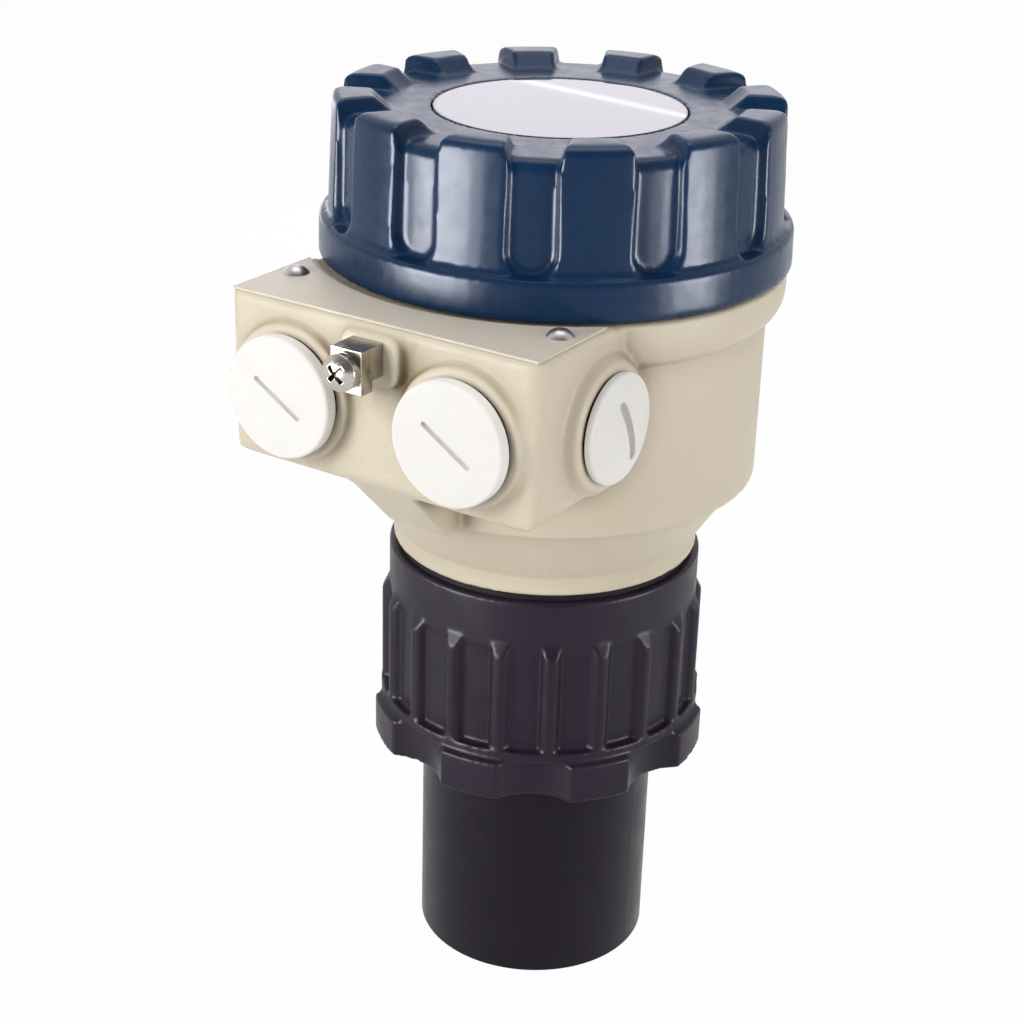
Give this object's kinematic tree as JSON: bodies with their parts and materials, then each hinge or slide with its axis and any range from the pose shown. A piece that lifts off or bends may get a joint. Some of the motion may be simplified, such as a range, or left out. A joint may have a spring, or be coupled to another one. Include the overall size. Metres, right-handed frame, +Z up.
{
  "type": "ultrasonic level sensor",
  "caption": "Ultrasonic level sensor: cast head with a lobed screw cover, window and terminal box on a ribbed plastic collar with a closed transducer tube below.",
  "frame": {"origin": "centre of the transducer tube's flat sensing face", "axes": "+Z up the instrument's axis towards the cover, -Y out of the terminal box's front"},
  "size_m": [0.11, 0.139, 0.221],
  "materials": {
    "black_plastic": "satin moulded",
    "epoxy": "cast",
    "ceramic": "fired",
    "damping_foam": "matt",
    "black_rubber": "matt",
    "sensor_black": "matt",
    "cream_paint": "fine orange-peel powder coat",
    "plate_metal": "matt",
    "nickel": "nickel plated",
    "board_green": "satin",
    "white_plastic": "satin moulded",
    "screen_grey": "matt screen",
    "clear_glass": "polished",
    "navy_paint": "glossy powder coat"
  },
  "bodies": {
    "sensor": {"transducer_tube": "black_plastic", "process_collar": "black_plastic", "tube_clamp_ring": "black_plastic", "matching_layer": "epoxy", "piezo_disc": "ceramic", "damping_sleeve": "damping_foam", "backing_block": "epoxy", "temperature_sensor": "sensor_black", "transducer_lead": "sensor_black"},
    "head": {"housing": "cream_paint", "swivel_washer": "black_rubber", "neck_oring": "black_rubber", "neck_circlip": "nickel", "cover_oring": "black_rubber", "nameplate": "plate_metal", "nameplate_rivets": "nickel", "main_board": "board_green", "board_screws": "nickel", "shield_can": "nickel", "terminal_block": "white_plastic", "terminal_screws": "nickel", "display_posts": "nickel", "display_case": "white_plastic", "display_screen": "screen_grey"},
    "window_set": {"window_glass": "clear_glass", "window_gasket": "black_rubber", "window_ring": "black_plastic"},
    "cover": {"cover": "navy_paint"},
    "front_left_gasket": {"front_left_gasket": "black_rubber"},
    "front_left_plug": {"front_left_plug": "white_plastic"},
    "front_right_gasket": {"front_right_gasket": "black_rubber"},
    "front_right_plug": {"front_right_plug": "white_plastic"},
    "left_side_gasket": {"left_side_gasket": "black_rubber"},
    "left_side_plug": {"left_side_plug": "white_plastic"},
    "right_side_gasket": {"right_side_gasket": "black_rubber"},
    "right_side_plug": {"right_side_plug": "white_plastic"},
    "earth_saddle": {"earth_saddle": "nickel", "earth_washer": "nickel"},
    "earth_screw": {"earth_screw": "nickel"}
  },
  "joints": [
    {"name": "head_swivel", "type": "hinge", "parent": "sensor", "child": "head", "pos_m": [0, 0, 0.11175], "axis": [0, 0, 1], "range_deg": [-170, 170]},
    {"name": "cover_travel", "type": "slide", "parent": "head", "child": "window_set", "axis": [0, 0, 1], "range_m": [0, 0.01]},
    {"name": "cover_turn", "type": "hinge", "parent": "window_set", "child": "cover", "pos_m": [0, 0, 0.2], "axis": [0, 0, 1], "range_deg": [0, 1800]},
    {"name": "front_left_plug_travel", "type": "slide", "parent": "head", "child": "front_left_gasket", "axis": [0, -1, 0], "range_m": [0, 0.009]},
    {"name": "front_left_plug_turn", "type": "hinge", "parent": "front_left_gasket", "child": "front_left_plug", "pos_m": [-0.022, -0.072, 0.16481], "axis": [0, -1, 0], "range_deg": [0, 2160]},
    {"name": "front_right_plug_travel", "type": "slide", "parent": "head", "child": "front_right_gasket", "axis": [0, -1, 0], "range_m": [0, 0.009]},
    {"name": "front_right_plug_turn", "type": "hinge", "parent": "front_right_gasket", "child": "front_right_plug", "pos_m": [0.022, -0.072, 0.16481], "axis": [0, -1, 0], "range_deg": [0, 2160]},
    {"name": "left_side_plug_travel", "type": "slide", "parent": "head", "child": "left_side_gasket", "axis": [-1, 0, 0], "range_m": [0, 0.00907]},
    {"name": "left_side_plug_turn", "type": "hinge", "parent": "left_side_gasket", "child": "left_side_plug", "pos_m": [-0.043, -0.0438, 0.16361], "axis": [-1, 0, 0], "range_deg": [0, 1800]},
    {"name": "right_side_plug_travel", "type": "slide", "parent": "head", "child": "right_side_gasket", "axis": [1, 0, 0], "range_m": [0, 0.00907]},
    {"name": "right_side_plug_turn", "type": "hinge", "parent": "right_side_gasket", "child": "right_side_plug", "pos_m": [0.043, -0.0438, 0.16361], "axis": [1, 0, 0], "range_deg": [0, 1800]},
    {"name": "earth_screw_travel", "type": "slide", "parent": "head", "child": "earth_saddle", "axis": [0, -1, 0], "range_m": [0, 0.0035]},
    {"name": "earth_screw_turn", "type": "hinge", "parent": "earth_saddle", "child": "earth_screw", "pos_m": [0, -0.08, 0.17761], "axis": [0, -1, 0], "range_deg": [0, 1800]}
  ],
  "couplings": [
    {"joint": "cover_travel", "follows": "cover_turn", "m_per_rad": 0.00031831},
    {"joint": "front_left_plug_turn", "follows": "front_left_plug_travel", "rad_per_m": 4188.8},
    {"joint": "front_right_plug_turn", "follows": "front_right_plug_travel", "rad_per_m": 4188.8},
    {"joint": "left_side_plug_turn", "follows": "left_side_plug_travel", "rad_per_m": 3463.7},
    {"joint": "right_side_plug_turn", "follows": "right_side_plug_travel", "rad_per_m": 3463.7},
    {"joint": "earth_screw_turn", "follows": "earth_screw_travel", "rad_per_m": 8976}
  ]
}
